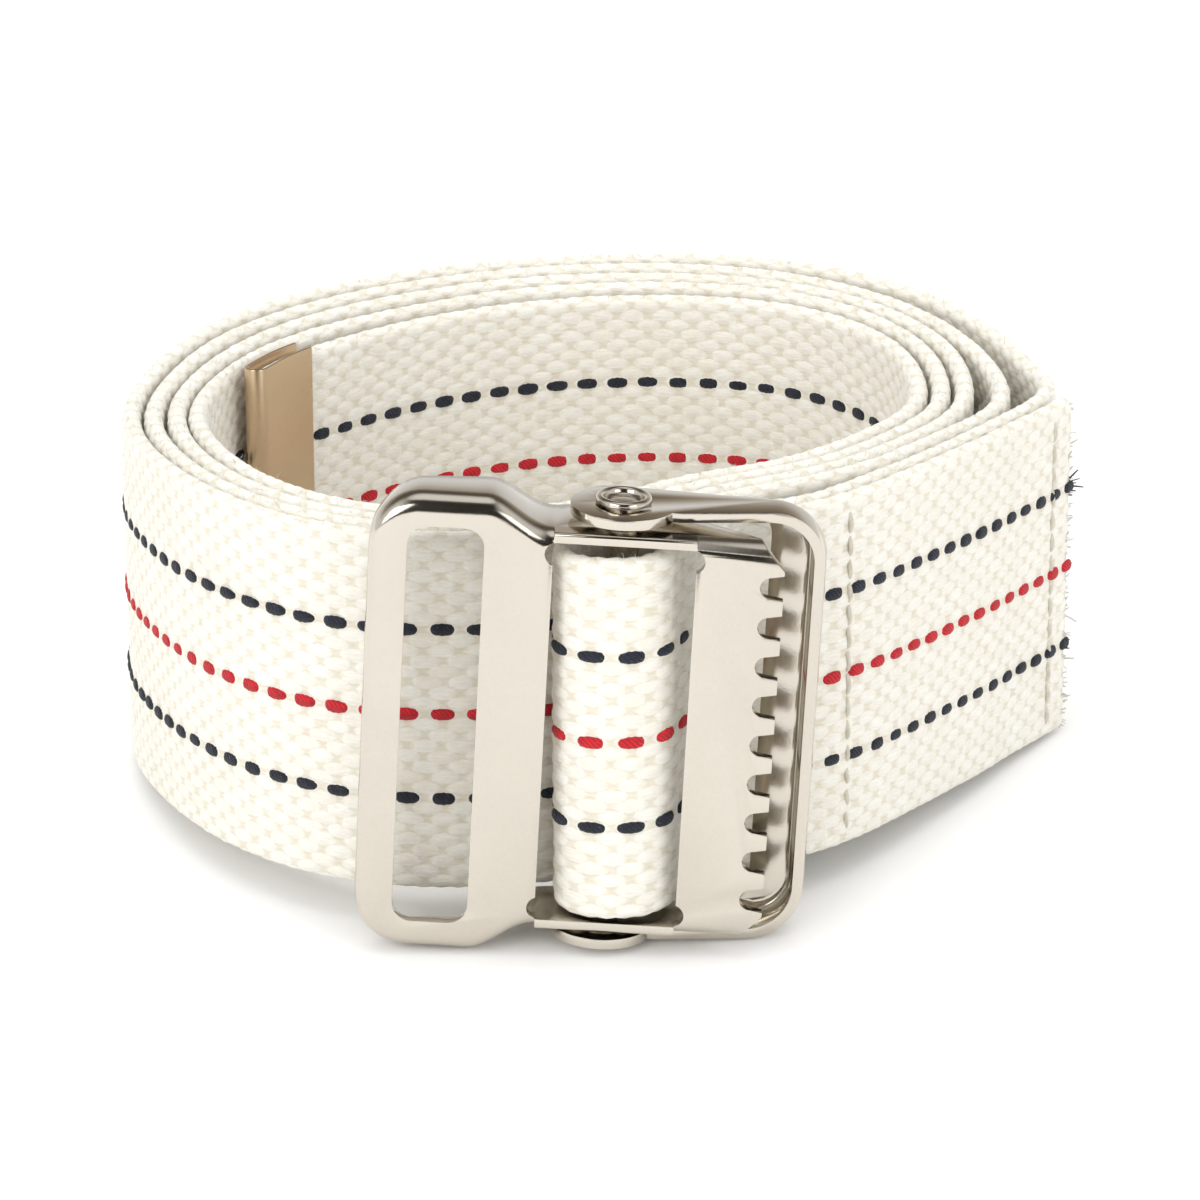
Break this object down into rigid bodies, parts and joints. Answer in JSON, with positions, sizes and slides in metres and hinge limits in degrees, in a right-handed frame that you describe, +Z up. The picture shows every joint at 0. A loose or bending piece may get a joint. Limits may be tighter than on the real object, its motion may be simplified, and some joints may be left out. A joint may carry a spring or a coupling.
{
  "type": "gait belt",
  "caption": "Striped cotton webbing gait belt rolled into a standing coil, with a two-plate toothed metal buckle sewn to one end and a folded metal tip on the other.",
  "frame": {"origin": "bottom centre of the bounding box, at the height of the table the coil stands on", "axes": "+Z up along the webbing's width (the buckle's pin leans 3 degrees from it towards +X), +Y from the buckle at the front towards the back of the coil, +X to the right when facing the buckle"},
  "size_m": [0.1348, 0.1524, 0.0648],
  "materials": {
    "webbing": "heavy plain-woven natural cotton with one red and two navy woven dash stripes",
    "thread": "twisted tan sewing thread",
    "nickel": "satin nickel plate on stamped steel",
    "tip_metal": "bright rolled nickel-plated sheet with a warm reflection"
  },
  "bodies": {
    "belt": {"webbing_strap": "webbing", "strap_tip": "tip_metal", "stitch_row_near_needle": "thread", "stitch_row_near_bobbin": "thread", "stitch_row_end_needle": "thread", "stitch_row_end_bobbin": "thread", "pivot_pin": "nickel"},
    "frame_body": {"rear_frame": "nickel"},
    "lever_body": {"toothed_lever": "nickel"}
  },
  "joints": [
    {"name": "frame_swing", "type": "hinge", "parent": "belt", "child": "frame_body", "pos_m": [0.00173, -0.06862, 0.0315], "axis": [0.0523, 0, 0.9986], "range_deg": [-12, 9]},
    {"name": "lever_swing", "type": "hinge", "parent": "belt", "child": "lever_body", "pos_m": [0.00173, -0.06862, 0.0315], "axis": [0.0523, 0, 0.9986], "range_deg": [-8, 14]}
  ]
}
